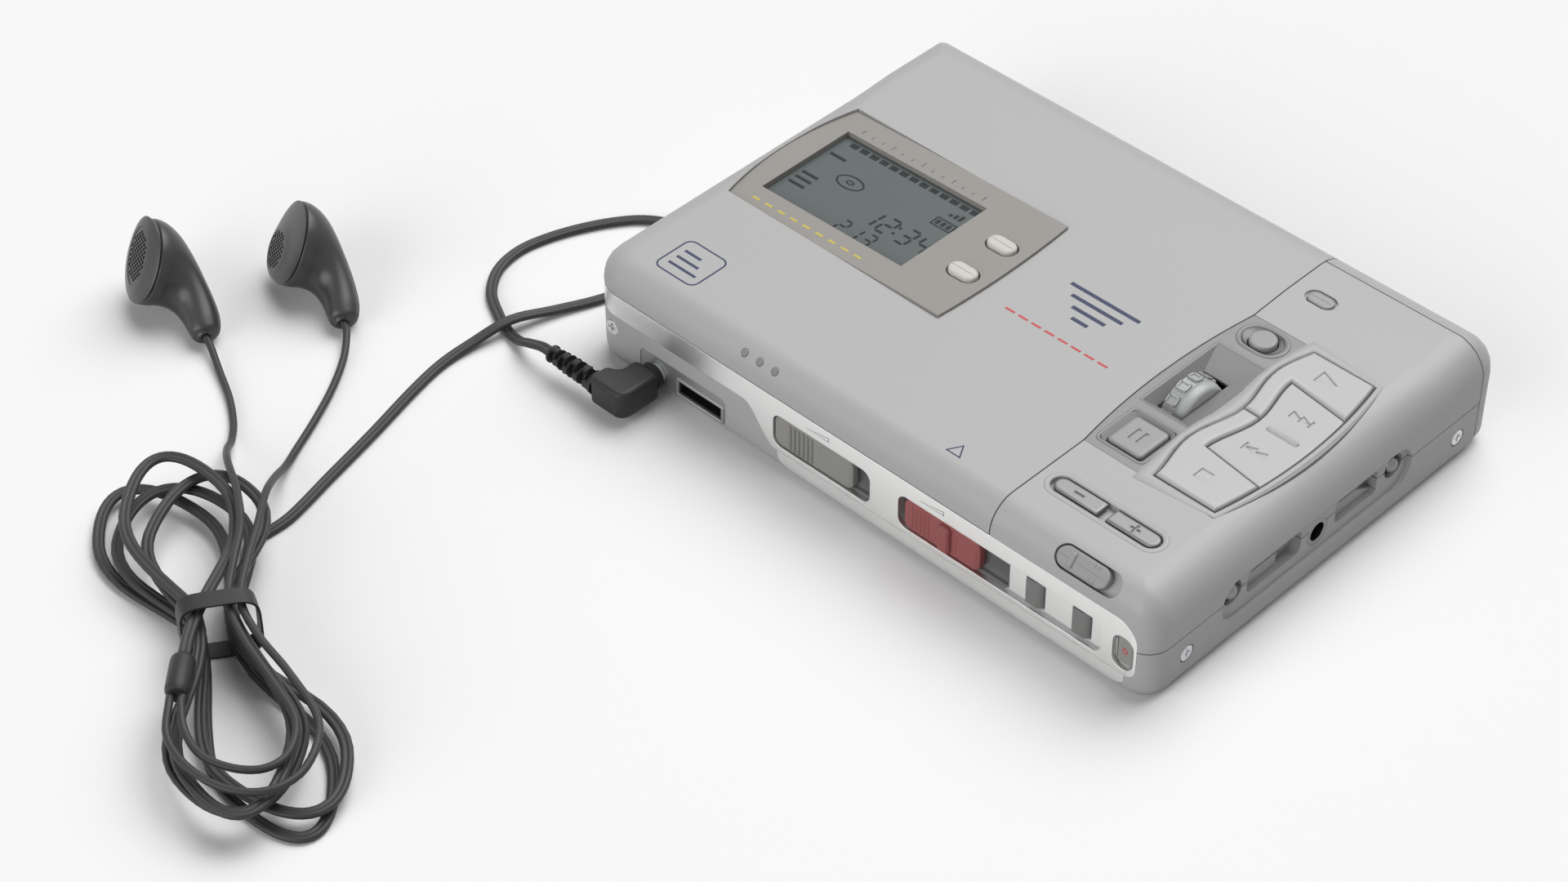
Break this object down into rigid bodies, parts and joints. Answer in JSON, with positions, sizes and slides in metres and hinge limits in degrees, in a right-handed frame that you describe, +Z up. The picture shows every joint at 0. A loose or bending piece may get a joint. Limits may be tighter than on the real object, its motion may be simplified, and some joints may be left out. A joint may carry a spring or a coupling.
{
  "type": "portable minidisc recorder",
  "caption": "Pocket disc recorder with a hinged lid over a tilting cartridge holder, a display, keys, slide controls, a jog dial, a battery door and plugged-in earphones on a tied cord.",
  "frame": {"origin": "middle of the recorder's flat underside", "axes": "+X along the long front side to the right, +Y from the front with the slide controls to the back, +Z up out of the lid"},
  "size_m": [0.1707, 0.1814, 0.0197],
  "materials": {
    "case_paint": "satin silver-grey paint",
    "deck": "satin grey",
    "keys": "satin light grey",
    "plate": "bright satin",
    "bezel": "fine matte warm grey",
    "window": "clear",
    "dark_plastic": "satin",
    "button_white": "satin off-white",
    "slider": "satin warm grey",
    "rec_red": "satin dull red",
    "lamp": "translucent",
    "steel": "rolled",
    "chrome": "plated",
    "brass": "plated",
    "board": "lacquered",
    "battery_can": "film sleeve",
    "lens": "clear",
    "cord": "matte",
    "ear_plastic": "satin"
  },
  "bodies": {
    "case": {"lower_case": "case_paint", "upper_case": "case_paint", "control_deck": "deck", "front_plate": "plate", "jack_block": "dark_plastic", "input_jacks": "dark_plastic", "ear_cap_left": "dark_plastic", "ear_cap_right": "dark_plastic", "rec_lamp": "lamp", "hinge_pin": "steel", "jog_axle": "steel", "drive_chassis": "steel", "spindle_motor": "steel", "sled_motor": "steel", "guide_rods": "chrome", "case_screws": "chrome", "side_contacts": "chrome", "battery_contacts": "brass", "plug_pin": "brass", "main_board": "board", "key_board": "board", "battery": "battery_can", "cord_run": "cord", "cord_hank": "cord", "cord_tie": "cord", "cord_splitter": "cord", "cord_left": "cord", "cord_right": "cord", "plug_relief": "cord", "plug_body": "ear_plastic", "ear_shell_left": "ear_plastic", "ear_shell_right": "ear_plastic"},
    "lid": {"lid": "case_paint", "latch_hook": "slider", "lcd_bezel": "bezel", "lcd_window": "window", "lcd_panel": "dark_plastic"},
    "disc_holder": {"disc_holder": "steel", "head_arm": "steel"},
    "sled": {"pickup_sled": "dark_plastic", "pickup_lens": "lens"},
    "display_button": {"display_button": "button_white"},
    "mode_button": {"mode_button": "button_white"},
    "title_button": {"title_button": "keys"},
    "jog_dial": {"jog_dial": "keys"},
    "pause_key": {"pause_key": "keys"},
    "play_key": {"play_key": "keys"},
    "stop_key": {"stop_key": "keys"},
    "search_rocker": {"search_rocker": "keys"},
    "volume_down_key": {"volume_down_key": "keys"},
    "volume_up_key": {"volume_up_key": "keys"},
    "hold_slider": {"hold_slider": "slider"},
    "open_slider": {"open_slider": "slider"},
    "rec_slider": {"rec_slider": "rec_red"},
    "end_search_button": {"end_search_button": "dark_plastic"},
    "track_mark_button": {"track_mark_button": "dark_plastic"},
    "erase_button": {"erase_button": "slider"},
    "battery_door": {"battery_door": "case_paint"},
    "turntable": {"turntable": "dark_plastic"},
    "lead_screw": {"lead_screw": "steel"}
  },
  "joints": [
    {"name": "lid_hinge", "type": "hinge", "parent": "case", "child": "lid", "pos_m": [0, 0.0355, 0.0105], "axis": [-1, 0, 0], "range_deg": [0, 45]},
    {"name": "holder_hinge", "type": "hinge", "parent": "case", "child": "disc_holder", "pos_m": [0, 0.0355, 0.0105], "axis": [-1, 0, 0], "range_deg": [0, 22.5]},
    {"name": "display_button_press", "type": "slide", "parent": "lid", "child": "display_button", "axis": [0, 0, -1], "range_m": [0, 0.0004], "stiffness_N_per_m": 2500},
    {"name": "mode_button_press", "type": "slide", "parent": "lid", "child": "mode_button", "axis": [0, 0, -1], "range_m": [0, 0.0004], "stiffness_N_per_m": 2500},
    {"name": "title_button_press", "type": "slide", "parent": "case", "child": "title_button", "axis": [0, 0, -1], "range_m": [0, 0.0004], "stiffness_N_per_m": 2500},
    {"name": "pause_key_press", "type": "slide", "parent": "case", "child": "pause_key", "axis": [0, 0, -1], "range_m": [0, 0.0004], "stiffness_N_per_m": 2500},
    {"name": "play_key_press", "type": "slide", "parent": "case", "child": "play_key", "axis": [0, 0, -1], "range_m": [0, 0.0004], "stiffness_N_per_m": 2500},
    {"name": "stop_key_press", "type": "slide", "parent": "case", "child": "stop_key", "axis": [0, 0, -1], "range_m": [0, 0.0004], "stiffness_N_per_m": 2500},
    {"name": "volume_down_key_press", "type": "slide", "parent": "case", "child": "volume_down_key", "axis": [0, 0, -1], "range_m": [0, 0.0004], "stiffness_N_per_m": 2500},
    {"name": "volume_up_key_press", "type": "slide", "parent": "case", "child": "volume_up_key", "axis": [0, 0, -1], "range_m": [0, 0.0004], "stiffness_N_per_m": 2500},
    {"name": "search_rock", "type": "hinge", "parent": "case", "child": "search_rocker", "pos_m": [0.045, -0.0006, 0.0173], "axis": [1, 0, 0], "range_deg": [-2, 2], "stiffness_Nm_per_rad": 0.17},
    {"name": "jog_turn", "type": "hinge", "parent": "case", "child": "jog_dial", "pos_m": [0.0292, -0.0009, 0.0137], "axis": [1, 0, 0], "continuous": true},
    {"name": "open_slide", "type": "slide", "parent": "case", "child": "open_slider", "axis": [1, 0, 0], "range_m": [0, 0.0033], "stiffness_N_per_m": 300},
    {"name": "rec_slide", "type": "slide", "parent": "case", "child": "rec_slider", "axis": [1, 0, 0], "range_m": [0, 0.0044]},
    {"name": "hold_slide", "type": "slide", "parent": "case", "child": "hold_slider", "axis": [1, 0, 0], "range_m": [0, 0.002]},
    {"name": "end_search_button_press", "type": "slide", "parent": "case", "child": "end_search_button", "axis": [0, 1, 0], "range_m": [0, 0.0005], "stiffness_N_per_m": 2000},
    {"name": "track_mark_button_press", "type": "slide", "parent": "case", "child": "track_mark_button", "axis": [0, 1, 0], "range_m": [0, 0.0005], "stiffness_N_per_m": 2000},
    {"name": "erase_button_press", "type": "slide", "parent": "case", "child": "erase_button", "axis": [0, 1, 0], "range_m": [0, 0.0005], "stiffness_N_per_m": 2000},
    {"name": "battery_door_hinge", "type": "hinge", "parent": "case", "child": "battery_door", "pos_m": [0.0375, 0.03685, 0.0026], "axis": [-1, 0, 0], "range_deg": [0, 60]},
    {"name": "turntable_spin", "type": "hinge", "parent": "case", "child": "turntable", "pos_m": [-0.0135, -0.001, 0.0075], "axis": [0, 0, 1], "continuous": true},
    {"name": "sled_slide", "type": "slide", "parent": "case", "child": "sled", "axis": [1, 0, 0], "range_m": [0, 0.016]},
    {"name": "lead_screw_turn", "type": "hinge", "parent": "case", "child": "lead_screw", "pos_m": [0.008, 0.012, 0.0065], "axis": [1, 0, 0], "range_deg": [0, 2885]}
  ],
  "couplings": [
    {"joint": "holder_hinge", "follows": "lid_hinge", "ratio": 0.5},
    {"joint": "lead_screw_turn", "follows": "sled_slide", "rad_per_m": 3141.6}
  ]
}
